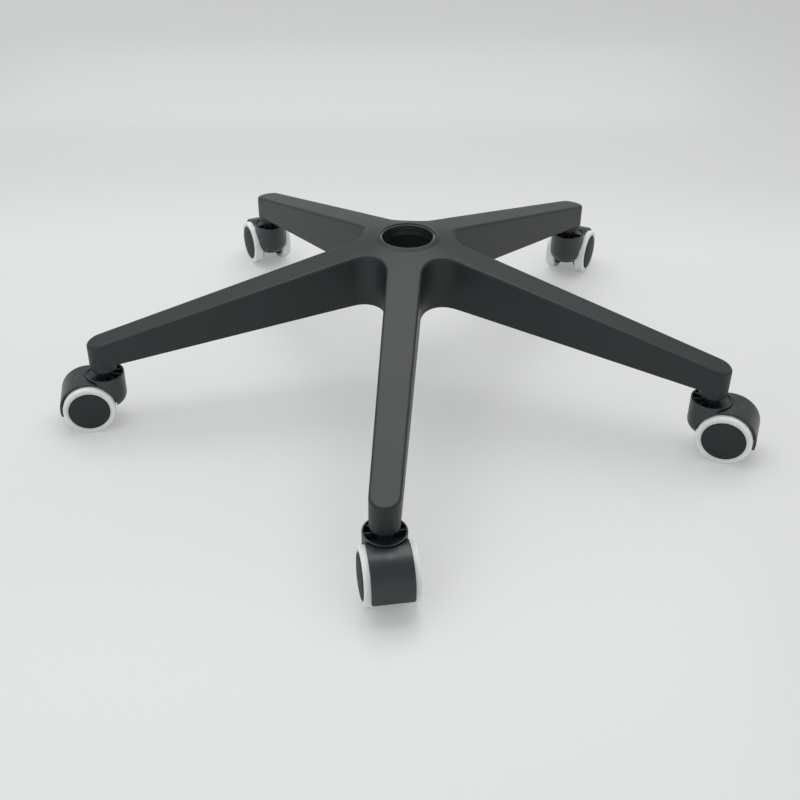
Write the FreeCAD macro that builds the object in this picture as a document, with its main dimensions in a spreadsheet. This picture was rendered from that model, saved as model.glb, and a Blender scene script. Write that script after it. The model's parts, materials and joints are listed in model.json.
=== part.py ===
import FreeCAD, Part
import math
import os
import re
import Sketcher
from FreeCAD import Rotation, Vector

# Office chair star base: a moulded five arm star on five twin wheel swivel casters.
# Heights in the sheet are measured from the floor. The origin of the finished part is on the
# hub's axis at the mouth of the steel ring's bore, where the gas lift goes in, with +Z up.

# The driving dimensions, in millimetres and degrees
DIMENSIONS = (
    ("star_diameter", 640.0, "circle that the five arm ends touch"),
    ("front_arm_bearing", -92.7, "degrees from +X to the front arm"),
    ("arm_root_width", 34.8, "arm's width carried in to the hub's axis"),
    ("arm_tip_width", 26.6, "arm's width and round end at the caster socket"),
    ("top_slope", 14.8, "degrees that the arms' tops fall outwards"),
    ("underside_slope", 8.7, "degrees that the arms' lower edges fall outwards"),
    ("tip_top_height", 92.4, "arm's top over the caster stem"),
    ("tip_underside_height", 67.8, "arm's lower edge at the caster stem"),
    ("boss_bottom_height", 61.1, "face of the boss that the stem's flange meets"),
    ("crotch_radius", 26.0, "upright hollow between two arms at the hub"),
    ("top_edge_radius", 2.5, "rounding of the star's upper edges"),
    ("rim_rise", 2.37, "land around the hub's opening, above the arms' tops"),
    ("rim_land_width", 1.8, "width of that land"),
    ("rim_bevel_width", 3.4, "bevel from the land down to the arms' tops"),
    ("rim_edge_radius", 1.7, "rounding of the bevel's two edges"),
    ("hub_opening_diameter", 53.2, "opening at the rim, which the steel ring fills"),
    ("ring_bore_diameter", 50.6, "bore that the gas lift goes through"),
    ("ring_length", 10.0, "length of the steel ring"),
    ("ring_recess", 1.1, "depth of the ring's edge below the rim"),
    ("hub_length", 60.0, "rim to the lower end of the hub's tube"),
    ("hub_wall", 5.5, "hub tube's wall outside the opening"),
    ("taper_angle", 1.44, "degrees a side that the hub's bore narrows below the ring"),
    ("skin", 4.0, "arm's top wall"),
    ("side_wall", 3.5, "arm's side walls"),
    ("rib_thickness", 2.6, "ribs under the arms"),
    ("first_rib_radius", 70.0, "hub's axis to the middle of the first zigzag rib"),
    ("rib_pitch", 46.0, "spacing of the zigzag ribs"),
    ("rib_turn", 32.0, "degrees between a zigzag rib and its arm"),
    ("hub_rib_thickness", 3.0, "ribs from the hub's tube to the hollows between two arms"),
    ("boss_diameter", 25.9, "lower end of the caster boss"),
    ("boss_draft", 0.8, "degrees a side that the boss widens upwards"),
    ("boss_overlap", 4.0, "boss's cone carried up into the arm"),
    ("stem_diameter", 11.0, "upper pin of the caster stem"),
    ("stem_reach", 22.0, "pin's length above the boss's face"),
    ("stem_chamfer", 1.0, "pin's upper end"),
    ("socket_clearance", 0.05, "socket's wall to the stem"),
    ("socket_spare_depth", 1.5, "socket beyond the pin's end"),
    ("flange_diameter", 17.0, "stem's flange"),
    ("flange_thickness", 2.0, "stem's flange"),
    ("neck_diameter", 10.0, "lower pin that the hood swivels on"),
    ("neck_clearance", 0.05, "hood's bore to the neck"),
    ("neck_end_height", 31.0, "lower end of the stem"),
    ("neck_end_clearance", 1.0, "hood's bore below the stem's end"),
    ("snap_height", 34.5, "middle of the neck's snap groove"),
    ("snap_groove_width", 3.0, "snap groove"),
    ("snap_groove_depth", 0.6, "snap groove"),
    ("snap_bead_width", 2.2, "bead in the hood's bore that sits in the groove"),
    ("snap_bead_height", 0.4, "bead's reach inwards"),
    ("grip_groove_top", 3.1, "grip ring's groove below the pin's end"),
    ("grip_ring_length", 5.0, "split spring ring"),
    ("grip_ring_wall", 0.65, "split spring ring"),
    ("grip_ring_slit", 1.2, "split spring ring"),
    ("thrust_gap", 0.4, "flange to the hood's tube"),
    ("boss_clearance", 1.5, "hood kept clear around the star's boss"),
    ("wheel_diameter", 50.8, "over the tyre"),
    ("caster_offset", 18.0, "stem's axis to the axle"),
    ("cup_diameter", 37.8, "round cup of the hood"),
    ("cup_rim_height", 55.5, "rim of the cup"),
    ("cup_wall", 1.7, "wall of the cup"),
    ("cup_round_height", 32.0, "where the cup's wall starts to round under"),
    ("cup_round_radius", 13.0, "rounding under the cup"),
    ("cup_rib_thickness", 1.2, "radial ribs in the cup"),
    ("cup_rib_drop", 0.8, "ribs' tops below the rim"),
    ("cup_rim_radius", 0.5, "rounding of the rim's two edges"),
    ("cup_groove_width", 1.3, "crease in the cover around the cup"),
    ("cup_groove_depth", 1.0, "crease in the cover around the cup"),
    ("tube_wall", 3.0, "hood's tube around the neck"),
    ("tube_end_height", 27.0, "lower end of that tube"),
    ("cover_width", 36.0, "cover over the wheels"),
    ("cover_wall", 1.8, "cover"),
    ("cover_tail_height", 17.8, "cover's lower edge above the floor"),
    ("cover_corner_radius", 2.2, "cover's lower corners"),
    ("cover_edge_radius", 0.8, "cover's outer edges"),
    ("tyre_clearance", 1.4, "tyre to the inside of the cover"),
    ("web_thickness", 4.0, "plate between the wheels"),
    ("axle_diameter", 6.0, "axle pin"),
    ("axle_length", 43.0, "axle pin"),
    ("axle_chamfer", 0.6, "axle pin's ends"),
    ("axle_boss_diameter", 13.0, "hood's boss around the axle"),
    ("axle_boss_length", 18.0, "hood's boss around the axle"),
    ("wheel_running_gap", 0.5, "boss's end to the wheel's hub"),
    ("axle_clearance", 0.05, "wheel's bore to the axle"),
    ("core_hub_diameter", 13.0, "wheel's hub"),
    ("core_hub_length", 12.5, "wheel's hub"),
    ("core_rim_diameter", 40.4, "wheel's rim, under the tyre"),
    ("core_rim_wall", 2.2, "wheel's rim"),
    ("core_rim_start", 9.9, "rim's inner edge from the caster's middle"),
    ("core_web_start", 15.0, "wheel's web from the caster's middle"),
    ("core_web_thickness", 2.0, "wheel's web"),
    ("core_spoke_thickness", 1.6, "ribs on the wheel's web"),
    ("wheel_face", 23.0, "wheel's outer face from the caster's middle"),
    ("tyre_start", 12.5, "tyre's inner edge from the caster's middle"),
    ("tyre_inner_chamfer", 1.6, "tyre's inner shoulder"),
    ("tyre_outer_radius", 2.8, "tyre's rounded outer shoulder"),
    ("cap_diameter", 38.6, "disc on the wheel's face"),
    ("cap_edge", 0.6, "height of the disc's edge"),
    ("cap_dome", 1.7, "height of the disc's dome over its edge"),
    ("cap_wall", 1.4, "disc"),
    ("cap_plug_length", 2.6, "ring on the disc's back, pressed into the rim"),
    ("cap_plug_wall", 1.5, "ring on the disc's back"),
    ("swivel_1", 13.5, "degrees that the front caster is turned from its arm"),
    ("swivel_2", 1.7, "right caster"),
    ("swivel_3", 14.7, "rear right caster"),
    ("swivel_4", -7.8, "rear left caster"),
    ("swivel_5", -3.6, "left caster"),
)

CASTERS = (1, 2, 3, 4, 5)
WHEEL_SIDES = (("left", 0), ("right", 180))
ARM_ANGLE = 360.0 / len(CASTERS)
HALF_ARM_ANGLE = ARM_ANGLE / 2

# Sizes that follow from the driving ones
DERIVED = (
    ("stem_circle", "(star_diameter - arm_tip_width) / 2"),
    ("apex_height", "tip_top_height + stem_circle * tan(top_slope * 1 deg)"),
    ("under_apex_height", "tip_underside_height + stem_circle * tan(underside_slope * 1 deg)"),
    ("land_radius", "hub_opening_diameter / 2 + rim_land_width"),
    ("bevel_radius", "land_radius + rim_bevel_width"),
    ("bevel_height", "apex_height - bevel_radius * tan(top_slope * 1 deg)"),
    ("hub_rim_height", "bevel_height + rim_rise"),
    ("origin_height", "hub_rim_height - ring_recess"),
    ("ring_bottom_height", "origin_height - ring_length"),
    ("hub_end_height", "hub_rim_height - hub_length"),
    ("side_lean", "atan((arm_root_width - arm_tip_width) / 2 / stem_circle) / 1 deg"),
    ("crotch_angle", f"{HALF_ARM_ANGLE} + side_lean"),
    ("crotch_corner", "arm_root_width / 2 * cos(side_lean * 1 deg) / sin(crotch_angle * 1 deg)"),
    ("crotch_reach", "crotch_corner + crotch_radius * (1 / sin(crotch_angle * 1 deg) - 1)"),
    ("hub_room_radius", "crotch_reach - side_wall"),
    ("hub_tube_radius", "hub_opening_diameter / 2 + hub_wall"),
    ("boss_top_height", "max(tip_underside_height; boss_bottom_height) + boss_overlap"),
    ("pin_end_height", "boss_bottom_height + stem_reach"),
    ("socket_radius", "stem_diameter / 2 + socket_clearance"),
    ("grip_top_height", "pin_end_height - grip_groove_top"),
    ("grip_bottom_height", "grip_top_height - grip_ring_length"),
    ("grip_inner_radius", "socket_radius - grip_ring_wall"),
    ("flange_height", "boss_bottom_height - flange_thickness"),
    ("tube_top_height", "flange_height - thrust_gap"),
    ("boss_room_height", "flange_height - thrust_gap / 2"),
    ("tube_radius", "neck_diameter / 2 + tube_wall"),
    ("neck_bore_radius", "neck_diameter / 2 + neck_clearance"),
    ("wheel_radius", "wheel_diameter / 2"),
    ("arch_radius", "wheel_radius + tyre_clearance"),
    ("cover_radius", "arch_radius + cover_wall"),
    ("cup_radius", "cup_diameter / 2"),
    ("core_hub_start", "axle_boss_length / 2 + wheel_running_gap"),
    ("core_rim_radius", "core_rim_diameter / 2"),
    ("core_rim_bore_radius", "core_rim_radius - core_rim_wall"),
    ("cap_radius", "cap_diameter / 2"),
    ("cap_edge_face", "wheel_face + cap_edge"),
    ("cap_crown_face", "cap_edge_face + cap_dome"),
)

ARM_RIBS = 5
CUP_RIB_TURNS = (90, 126, 162, 198, 234)
CORE_SPOKES = 6

# How far a cutting shape runs past what it cuts, and how near counts as on the same surface
MARGIN = 30.0
NEAR = 0.05

SHEET_OF = {alias: "Dimensions" for alias, value, meaning in DIMENSIONS}
SHEET_OF.update({alias: "Derived" for alias, formula in DERIVED})

doc = FreeCAD.newDocument("five_star_base")


def sized(formula, own_sheet=None):
    """Name each size in a formula with its sheet, apart from those on the sheet that holds it."""
    def with_sheet(match):
        word = match.group()
        sheet = SHEET_OF.get(word)
        return word if sheet in (None, own_sheet) else f"{sheet}.{word}"
    return re.sub(r"[a-z]\w*", with_sheet, formula)


def fill_sheets():
    """Write the driving dimensions as plain numbers and the derived sizes as formulas on them."""
    driving = doc.addObject("Spreadsheet::Sheet", "Dimensions")
    for row, (alias, value, meaning) in enumerate(DIMENSIONS, start=1):
        driving.set(f"A{row}", meaning)
        driving.set(f"B{row}", str(value))
        driving.setAlias(f"B{row}", alias)
    doc.recompute()
    derived = doc.addObject("Spreadsheet::Sheet", "Derived")
    for row, (alias, formula) in enumerate(DERIVED, start=1):
        derived.setAlias(f"B{row}", alias)
        derived.set(f"B{row}", "=" + sized(formula, "Derived"))
    doc.recompute()
    return derived


derived_sheet = fill_sheets()


def value_of(formula):
    """Work out a formula on the two sheets as a plain number."""
    return float(derived_sheet.evalExpression(sized(formula)))


def bind(obj, prop, formula, unit="mm"):
    """Bind one property of an object to a formula on the sheets."""
    obj.setExpression(prop, f"({sized(formula)}) * 1 {unit}")


def new_body(name):
    """Start a PartDesign body."""
    body = doc.addObject("PartDesign::Body", name)
    body.Label = name
    return body


def new_sketch(body, name, role):
    """Start a sketch on one of the body's own origin planes."""
    sketch = body.newObject("Sketcher::SketchObject", name)
    plane = next(item for item in body.Origin.OriginFeatures if item.Role == role)
    sketch.AttachmentSupport = [(plane, "")]
    sketch.MapMode = "FlatFace"
    return sketch


def bind_constraint(sketch, kind, places, formula):
    """Add a dimension to a sketch and bind it to a formula."""
    index = sketch.addConstraint(Sketcher.Constraint(kind, *places, value_of(formula)))
    sketch.setExpression(f"Constraints[{index}]", f"({sized(formula)}) * 1 mm")


def place_point(sketch, edge, end, across, up):
    """Hold one end of an edge at two formulas from the sketch's origin."""
    bind_constraint(sketch, "DistanceX", (-1, 1, edge, end), across)
    bind_constraint(sketch, "DistanceY", (-1, 1, edge, end), up)


def polygon(sketch, corners, arcs=None):
    """Draw a closed outline through corners given as pairs of formulas.

    arcs maps the number of a side to (centre across, centre up, turns anticlockwise), and that
    side is then an arc between its two corners.
    """
    arcs = arcs or {}
    points = [Vector(value_of(across), value_of(up), 0) for across, up in corners]
    count = len(points)
    first = sketch.GeometryCount
    for side, start in enumerate(points):
        end = points[(side + 1) % count]
        if side in arcs:
            centre = Vector(value_of(arcs[side][0]), value_of(arcs[side][1]), 0)
            sketch.addGeometry(arc_between(centre, start, end, arcs[side][2]), False)
        else:
            sketch.addGeometry(Part.LineSegment(start, end), False)
    ends = []
    for side in range(count):
        turned = side in arcs and not arcs[side][2]
        ends.append((2, 1) if turned else (1, 2))
    for side in range(count):
        after = (side + 1) % count
        joint = Sketcher.Constraint("Coincident", first + side, ends[side][1], first + after, ends[after][0])
        sketch.addConstraint(joint)
    for side, (across, up) in enumerate(corners):
        place_point(sketch, first + side, ends[side][0], across, up)
    for side in arcs:
        bind_constraint(sketch, "DistanceX", (-1, 1, first + side, 3), arcs[side][0])


def arc_between(centre, start, end, anticlockwise):
    """Make the arc about a centre from start to end, the way round that is asked."""
    circle = Part.Circle(centre, Vector(0, 0, 1), (start - centre).Length)
    angles = [math.atan2(point.y - centre.y, point.x - centre.x) for point in (start, end)]
    if not anticlockwise:
        angles.reverse()
    if angles[1] < angles[0]:
        angles[1] += 2 * math.pi
    return Part.ArcOfCircle(circle, angles[0], angles[1])


def turned_body(name, plane_role, corners, arcs=None):
    """Revolve an outline a full turn about the upright axis of its sketch."""
    body = new_body(name)
    sketch = new_sketch(body, name + "_profile", plane_role)
    polygon(sketch, corners, arcs)
    turn = body.newObject("PartDesign::Revolution", name + "_turn")
    turn.Profile = sketch
    turn.ReferenceAxis = (sketch, ["V_Axis"])
    turn.Angle = 360
    sketch.Visibility = False
    return body


def cylinder(name, radius, start, end, axis="Z", across="0", turn=None):
    """Make a cylinder from start to end along Z, or along Y at the axle's height."""
    shape = doc.addObject("Part::Cylinder", name)
    bind(shape, "Radius", radius)
    bind(shape, "Height", f"({end}) - ({start})")
    if axis == "Z":
        bind(shape, "Placement.Base.z", start)
        if turn is not None:
            bind(shape, "Placement.Base.x", f"({across}) * cos(({turn}) * 1 deg)")
            bind(shape, "Placement.Base.y", f"({across}) * sin(({turn}) * 1 deg)")
        return shape
    shape.Placement.Rotation = Rotation(Vector(1, 0, 0), -90)
    bind(shape, "Placement.Base.x", across)
    bind(shape, "Placement.Base.y", start)
    bind(shape, "Placement.Base.z", "wheel_radius")
    return shape


def block(name, low, high):
    """Make a box between two corners given as formulas."""
    shape = doc.addObject("Part::Box", name)
    for prop, letter, start, end in zip(("Length", "Width", "Height"), "xyz", low, high):
        bind(shape, prop, f"({end}) - ({start})")
        bind(shape, f"Placement.Base.{letter}", start)
    return shape


def slab(name, middle, half_length, half_width, low, high, turn):
    """Make an upright slab about a point on the X axis, turned by a formula in degrees."""
    shape = doc.addObject("Part::Box", name)
    bind(shape, "Length", f"2 * ({half_length})")
    bind(shape, "Width", f"2 * ({half_width})")
    bind(shape, "Height", f"({high}) - ({low})")
    angle = f"({turn}) * 1 deg"
    along = f"({middle}) - ({half_length}) * cos({angle}) + ({half_width}) * sin({angle})"
    aside = f"-({half_length}) * sin({angle}) - ({half_width}) * cos({angle})"
    bind(shape, "Placement.Base.x", along)
    bind(shape, "Placement.Base.y", aside)
    bind(shape, "Placement.Base.z", low)
    bind(shape, "Placement.Rotation.Angle", turn, "deg")
    return shape


def fused(name, shapes):
    """Join shapes into one."""
    join = doc.addObject("Part::MultiFuse", name)
    join.Shapes = shapes
    return join


def cut(name, base, tool):
    """Take one shape out of another."""
    result = doc.addObject("Part::Cut", name)
    result.Base = base
    result.Tool = tool
    return result


def common(name, base, tool):
    """Keep what two shapes share."""
    result = doc.addObject("Part::Common", name)
    result.Base = base
    result.Tool = tool
    return result


def rounded(name, base, radius, chosen):
    """Round the edges of a shape that the test picks."""
    doc.recompute()
    size = value_of(radius)
    picked = [number for number, edge in enumerate(base.Shape.Edges, start=1) if chosen(edge)]
    result = doc.addObject("Part::Fillet", name)
    result.Base = base
    result.Edges = [(number, size, size) for number in picked]
    return result


def arm_plan(name, inset, arms):
    """Pad the plan of one arm or of the whole star, set in from the outside by a formula."""
    body = new_body(name)
    sketch = new_sketch(body, name + "_sketch", "XY_Plane")
    root = f"arm_root_width / 2 - ({inset})"
    tip = f"arm_tip_width / 2 - ({inset})"
    reach = value_of("stem_circle")
    root_now = value_of(root)
    tip_now = value_of(tip)
    sketch.addGeometry(Part.LineSegment(Vector(0, root_now, 0), Vector(0, -root_now, 0)), False)
    sketch.addGeometry(Part.LineSegment(Vector(0, -root_now, 0), Vector(reach, -tip_now, 0)), False)
    circle = Part.Circle(Vector(reach, 0, 0), Vector(0, 0, 1), tip_now)
    sketch.addGeometry(Part.ArcOfCircle(circle, -math.pi / 2, math.pi / 2), False)
    sketch.addGeometry(Part.LineSegment(Vector(reach, tip_now, 0), Vector(0, root_now, 0)), False)
    sketch.addConstraint(Sketcher.Constraint("Coincident", 0, 2, 1, 1))
    sketch.addConstraint(Sketcher.Constraint("Tangent", 1, 2, 2, 1))
    sketch.addConstraint(Sketcher.Constraint("Tangent", 2, 2, 3, 1))
    sketch.addConstraint(Sketcher.Constraint("Coincident", 3, 2, 0, 1))
    sketch.addConstraint(Sketcher.Constraint("PointOnObject", 2, 3, -1))
    place_point(sketch, 0, 1, "0", root)
    place_point(sketch, 0, 2, "0", f"-({root})")
    bind_constraint(sketch, "DistanceX", (-1, 1, 2, 3), "stem_circle")
    bind_constraint(sketch, "Radius", (2,), tip)
    pad = body.newObject("PartDesign::Pad", name + "_pad")
    pad.Profile = sketch
    bind(pad, "Length", "apex_height")
    sketch.Visibility = False
    if arms > 1:
        repeat_around(body, pad, "Z_Axis", arms)
    return body


def repeat_around(body, feature, axis_role, count):
    """Repeat a feature of a body in a full circle about one of its axes."""
    pattern = body.newObject("PartDesign::PolarPattern", feature.Name + "_round")
    pattern.Originals = [feature]
    axis = next(item for item in body.Origin.OriginFeatures if item.Role == axis_role)
    pattern.Axis = (axis, [""])
    pattern.Angle = 360
    pattern.Occurrences = count
    body.Tip = pattern


def is_crotch(edge):
    """Tell the upright edges where two arms meet at the hub."""
    lower, upper = edge.Vertexes[0].Point, edge.Vertexes[-1].Point
    upright = math.hypot(upper.x - lower.x, upper.y - lower.y) < NEAR < abs(upper.z - lower.z)
    return upright and math.hypot(lower.x, lower.y) < value_of("stem_circle") / 2


def round_crotches(body):
    """Round the upright hollows between the arms."""
    doc.recompute()
    base = body.Tip
    edges = [f"Edge{n}" for n, edge in enumerate(base.Shape.Edges, start=1) if is_crotch(edge)]
    fillet = body.newObject("PartDesign::Fillet", "crotch_rounding")
    fillet.Base = (base, edges)
    bind(fillet, "Radius", "crotch_radius")
    body.Tip = fillet


def cone_disc():
    """Revolve the body between the cone of the arms' tops and the cone of their lower edges."""
    far = f"(star_diameter / 2 + {MARGIN})"
    corners = [("0", "under_apex_height")]
    corners += [(far, f"under_apex_height - {far} * tan(underside_slope * 1 deg)")]
    corners += [(far, f"apex_height - {far} * tan(top_slope * 1 deg)"), ("bevel_radius", "bevel_height")]
    corners += [("land_radius", "hub_rim_height"), ("0", "hub_rim_height")]
    return turned_body("cone_disc", "XZ_Plane", corners)


def hollow_disc():
    """Revolve the space under the arms' top wall."""
    far = f"(star_diameter / 2 + {MARGIN})"
    apex = "apex_height - skin / cos(top_slope * 1 deg)"
    corners = [("0", "0"), (far, "0"), (far, f"{apex} - {far} * tan(top_slope * 1 deg)"), ("0", apex)]
    return turned_body("hollow_disc", "XZ_Plane", corners)


def is_top_edge(edge):
    """Tell the upper outline of the star, where its top cone meets the upright sides."""
    middle = edge.valueAt((edge.FirstParameter + edge.LastParameter) / 2)
    radius = math.hypot(middle.x, middle.y)
    cone = value_of("apex_height") - radius * math.tan(math.radians(value_of("top_slope")))
    return abs(middle.z - cone) < NEAR and radius > value_of("bevel_radius") + NEAR


def is_rim_edge(edge):
    """Tell the two circles of the bevel around the hub's opening."""
    circle = isinstance(edge.Curve, Part.Circle)
    return circle and edge.Curve.Radius < value_of("bevel_radius") + NEAR


def cone(name, low_radius, high_radius, start, end):
    """Make an upright cone on the Z axis."""
    shape = doc.addObject("Part::Cone", name)
    bind(shape, "Radius1", low_radius)
    bind(shape, "Radius2", high_radius)
    bind(shape, "Height", f"({end}) - ({start})")
    bind(shape, "Placement.Base.z", start)
    return shape


def stem_boss():
    """Make the slightly conical boss that stands below an arm's end, on the Z axis."""
    high_radius = "boss_diameter / 2 + (boss_top_height - boss_bottom_height) * tan(boss_draft * 1 deg)"
    return cone("boss", "boss_diameter / 2", high_radius, "boss_bottom_height", "boss_top_height")


def stem_space():
    """Make the socket for a stem's pin and the free space around its flange, on the Z axis."""
    pin = "socket_radius"
    flange = "flange_diameter / 2 + socket_clearance"
    low = f"boss_bottom_height - {MARGIN}"
    high = "pin_end_height + socket_spare_depth"
    corners = [("0", low), (flange, low), (flange, "boss_bottom_height"), (pin, "boss_bottom_height")]
    return turned_body("socket", "XZ_Plane", corners + [(pin, high), ("0", high)])


def at_stems(shape):
    """Repeat a shape on the Z axis at each caster's stem."""
    copies = []
    for number in CASTERS:
        copy = doc.addObject("Part::Compound", f"{shape.Name}_at_{number}")
        copy.Links = [shape]
        turn = (number - 1) * ARM_ANGLE
        bind(copy, "Placement.Base.x", f"stem_circle * cos({turn} * 1 deg)")
        bind(copy, "Placement.Base.y", f"stem_circle * sin({turn} * 1 deg)")
        copies.append(copy)
    return copies


def hub_sector():
    """Make the room around the hub's tube that belongs to one arm, up to the next arms' rooms."""
    sector = cylinder("hub_sector", "hub_room_radius", "0", "apex_height")
    sector.Angle = ARM_ANGLE
    sector.Placement.Rotation = Rotation(Vector(0, 0, 1), -HALF_ARM_ANGLE)
    return sector


def arm_hollow():
    """Make the hollow under one arm, with its zigzag ribs, hub tube and socket boss left out."""
    plan = fused("arm_and_hub_room", [arm_plan("hollow_plan", "side_wall", 1), hub_sector()])
    room = common("arm_room", plan, hollow_disc())
    top = "apex_height"
    keeps = [cylinder("hub_tube_keep", "hub_tube_radius", f"-{MARGIN}", top)]
    keeps.append(cylinder("boss_keep", "arm_tip_width / 2", f"-{MARGIN}", top, "Z", "stem_circle", "0"))
    for number in range(ARM_RIBS):
        turn = "rib_turn" if number % 2 else "-rib_turn"
        middle = f"first_rib_radius + {number} * rib_pitch"
        rib = slab(f"arm_rib_{number}", middle, "arm_root_width", "rib_thickness / 2", "0", top, turn)
        keeps.append(rib)
    for side, turn in (("left", HALF_ARM_ANGLE), ("right", -HALF_ARM_ANGLE)):
        half = "hub_rib_thickness / 2"
        keeps.append(slab(f"hub_rib_{side}", "0", "crotch_reach", half, "0", top, str(turn)))
    return cut("arm_hollow", room, fused("arm_keeps", keeps))


def copies_around(shape):
    """Repeat a shape at every arm."""
    copies = []
    for number in CASTERS:
        copy = doc.addObject("Part::Compound", f"{shape.Name}_{number}")
        copy.Links = [shape]
        copy.Placement.Rotation = Rotation(Vector(0, 0, 1), (number - 1) * ARM_ANGLE)
        copies.append(copy)
    return copies


def make_star_base():
    """Build the moulded star: hub, hollow ribbed arms and caster bosses."""
    plan = arm_plan("star_plan", "0", len(CASTERS))
    round_crotches(plan)
    solid = common("star_block", plan, cone_disc())
    outside = rounded("star_outside", solid, "top_edge_radius", is_top_edge)
    rim = rounded("star_rim", outside, "rim_edge_radius", is_rim_edge)
    tube = cylinder("hub_tube", "hub_tube_radius", "hub_end_height", "ring_bottom_height")
    whole = fused("star_whole", [rim, tube] + at_stems(stem_boss()))
    pocket = cylinder("ring_pocket", "hub_opening_diameter / 2", "ring_bottom_height",
                      f"hub_rim_height + {MARGIN}")
    taper_end = f"hub_end_height - {MARGIN}"
    narrow = f"ring_bore_diameter / 2 - (ring_bottom_height - ({taper_end})) * tan(taper_angle * 1 deg)"
    taper = cone("hub_taper", narrow, "ring_bore_diameter / 2", taper_end, "ring_bottom_height")
    spaces = doc.addObject("Part::Compound", "star_spaces")
    hub_bore = fused("hub_bore", [pocket, taper])
    spaces.Links = [hub_bore] + at_stems(stem_space()) + copies_around(arm_hollow())
    star = cut("star_base", whole, spaces)
    bind(star, "Placement.Base.z", "-origin_height")
    bind(star, "Placement.Rotation.Angle", "front_arm_bearing", "deg")
    return star


def make_hub_ring():
    """Build the steel ring in the hub's mouth."""
    outer = "hub_opening_diameter / 2"
    inner = "ring_bore_diameter / 2"
    low = "ring_bottom_height"
    high = "origin_height"
    ring = turned_body("hub_ring", "XZ_Plane", [(inner, low), (outer, low), (outer, high), (inner, high)])
    bind(ring, "Placement.Base.z", "-origin_height")
    return ring


def stem_turn(number):
    """Return the bearing of a caster's arm as a formula in degrees."""
    return f"front_arm_bearing + {(number - 1) * ARM_ANGLE}"


def placed_copy(name, master):
    """Make a piece that repeats a master's shape in a place of its own."""
    piece = doc.addObject("Part::Compound", name)
    piece.Label = name
    piece.Links = [master]
    return piece


def place_at_stem(obj, number):
    """Put a piece drawn in its caster's own frame on its arm: stem at the origin, tail along +X."""
    arm = f"({stem_turn(number)}) * 1 deg"
    bind(obj, "Placement.Base.x", f"stem_circle * cos({arm})")
    bind(obj, "Placement.Base.y", f"stem_circle * sin({arm})")
    bind(obj, "Placement.Base.z", "-origin_height")
    bind(obj, "Placement.Rotation.Angle", f"{stem_turn(number)} + swivel_{number}", "deg")


def place_at_wheel(obj, number, half_turn):
    """Put a piece drawn about the axle along +Y at its caster's left or right wheel."""
    arm = f"({stem_turn(number)}) * 1 deg"
    tail = f"({stem_turn(number)} + swivel_{number}) * 1 deg"
    bind(obj, "Placement.Base.x", f"stem_circle * cos({arm}) + caster_offset * cos({tail})")
    bind(obj, "Placement.Base.y", f"stem_circle * sin({arm}) + caster_offset * sin({tail})")
    bind(obj, "Placement.Base.z", "wheel_radius - origin_height")
    bind(obj, "Placement.Rotation.Angle", f"{stem_turn(number)} + swivel_{number} + {half_turn}", "deg")


def stem_master():
    """Build the steel stem: a pin for the arm's socket, a flange and a snap neck."""
    neck = "neck_diameter / 2"
    groove = f"{neck} - snap_groove_depth"
    pin = "stem_diameter / 2"
    grip = "grip_inner_radius"
    groove_low = "snap_height - snap_groove_width / 2"
    groove_high = "snap_height + snap_groove_width / 2"
    corners = [("0", "neck_end_height"), (neck, "neck_end_height"), (neck, groove_low)]
    corners += [(groove, groove_low), (groove, groove_high), (neck, groove_high), (neck, "flange_height")]
    corners += [("flange_diameter / 2", "flange_height"), ("flange_diameter / 2", "boss_bottom_height")]
    corners += [(pin, "boss_bottom_height"), (pin, "grip_bottom_height"), (grip, "grip_bottom_height")]
    corners += [(grip, "grip_top_height"), (pin, "grip_top_height"), (pin, "pin_end_height - stem_chamfer")]
    corners += [(f"{pin} - stem_chamfer", "pin_end_height"), ("0", "pin_end_height")]
    return turned_body("stem", "XZ_Plane", corners)


def grip_ring_master():
    """Build the split spring ring in the stem's groove."""
    inner = "grip_inner_radius"
    outer = "socket_radius"
    low = "grip_bottom_height"
    high = "grip_top_height"
    corners = [(inner, low), (outer, low), (outer, high), (inner, high)]
    sleeve = turned_body("grip_sleeve", "XZ_Plane", corners)
    half = "grip_ring_slit / 2"
    slit = block("grip_slit", ("0", f"-{half}", low), (f"{outer} + {MARGIN}", half, high))
    return cut("grip_ring", sleeve, slit)


def cup_outline(inset, flares, top):
    """Return the half outline of the hood's cup as corners and arcs.

    The outline is set in by a formula and ends in a quarter round at the rim. That turns
    outwards if the outline flares, which then runs on up to top, and inwards if not.
    """
    radius = f"cup_radius - ({inset})"
    centre = "cup_radius - cup_round_radius"
    bottom = f"cup_round_height - cup_round_radius + ({inset})"
    under_rim = "cup_rim_height - cup_rim_radius"
    stepped = f"{radius} + cup_rim_radius" if flares else f"{radius} - cup_rim_radius"
    corners = [("0", bottom), (centre, bottom), (radius, "cup_round_height"), (radius, under_rim)]
    corners += [(stepped, "cup_rim_height")]
    if flares:
        corners += [(stepped, top)]
    corners += [("0", top)]
    return corners, {1: (centre, "cup_round_height", True), 3: (stepped, under_rim, not flares)}


def is_cover_corner(edge):
    """Tell the short level edges at the cover's lower corners."""
    first, last = edge.Vertexes[0].Point, edge.Vertexes[-1].Point
    level = abs(first.z - last.z) < NEAR and abs(first.y - last.y) < NEAR
    return level and abs(first.z - value_of("cover_tail_height")) < NEAR


def is_cover_outline(edge):
    """Tell the edges around the cover's curved outer face."""
    middle = edge.valueAt((edge.FirstParameter + edge.LastParameter) / 2)
    across = middle.x - value_of("caster_offset")
    radius = math.hypot(across, middle.z - value_of("wheel_radius"))
    return abs(radius - value_of("cover_radius")) < NEAR and across > -value_of("cover_radius") / 2


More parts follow.
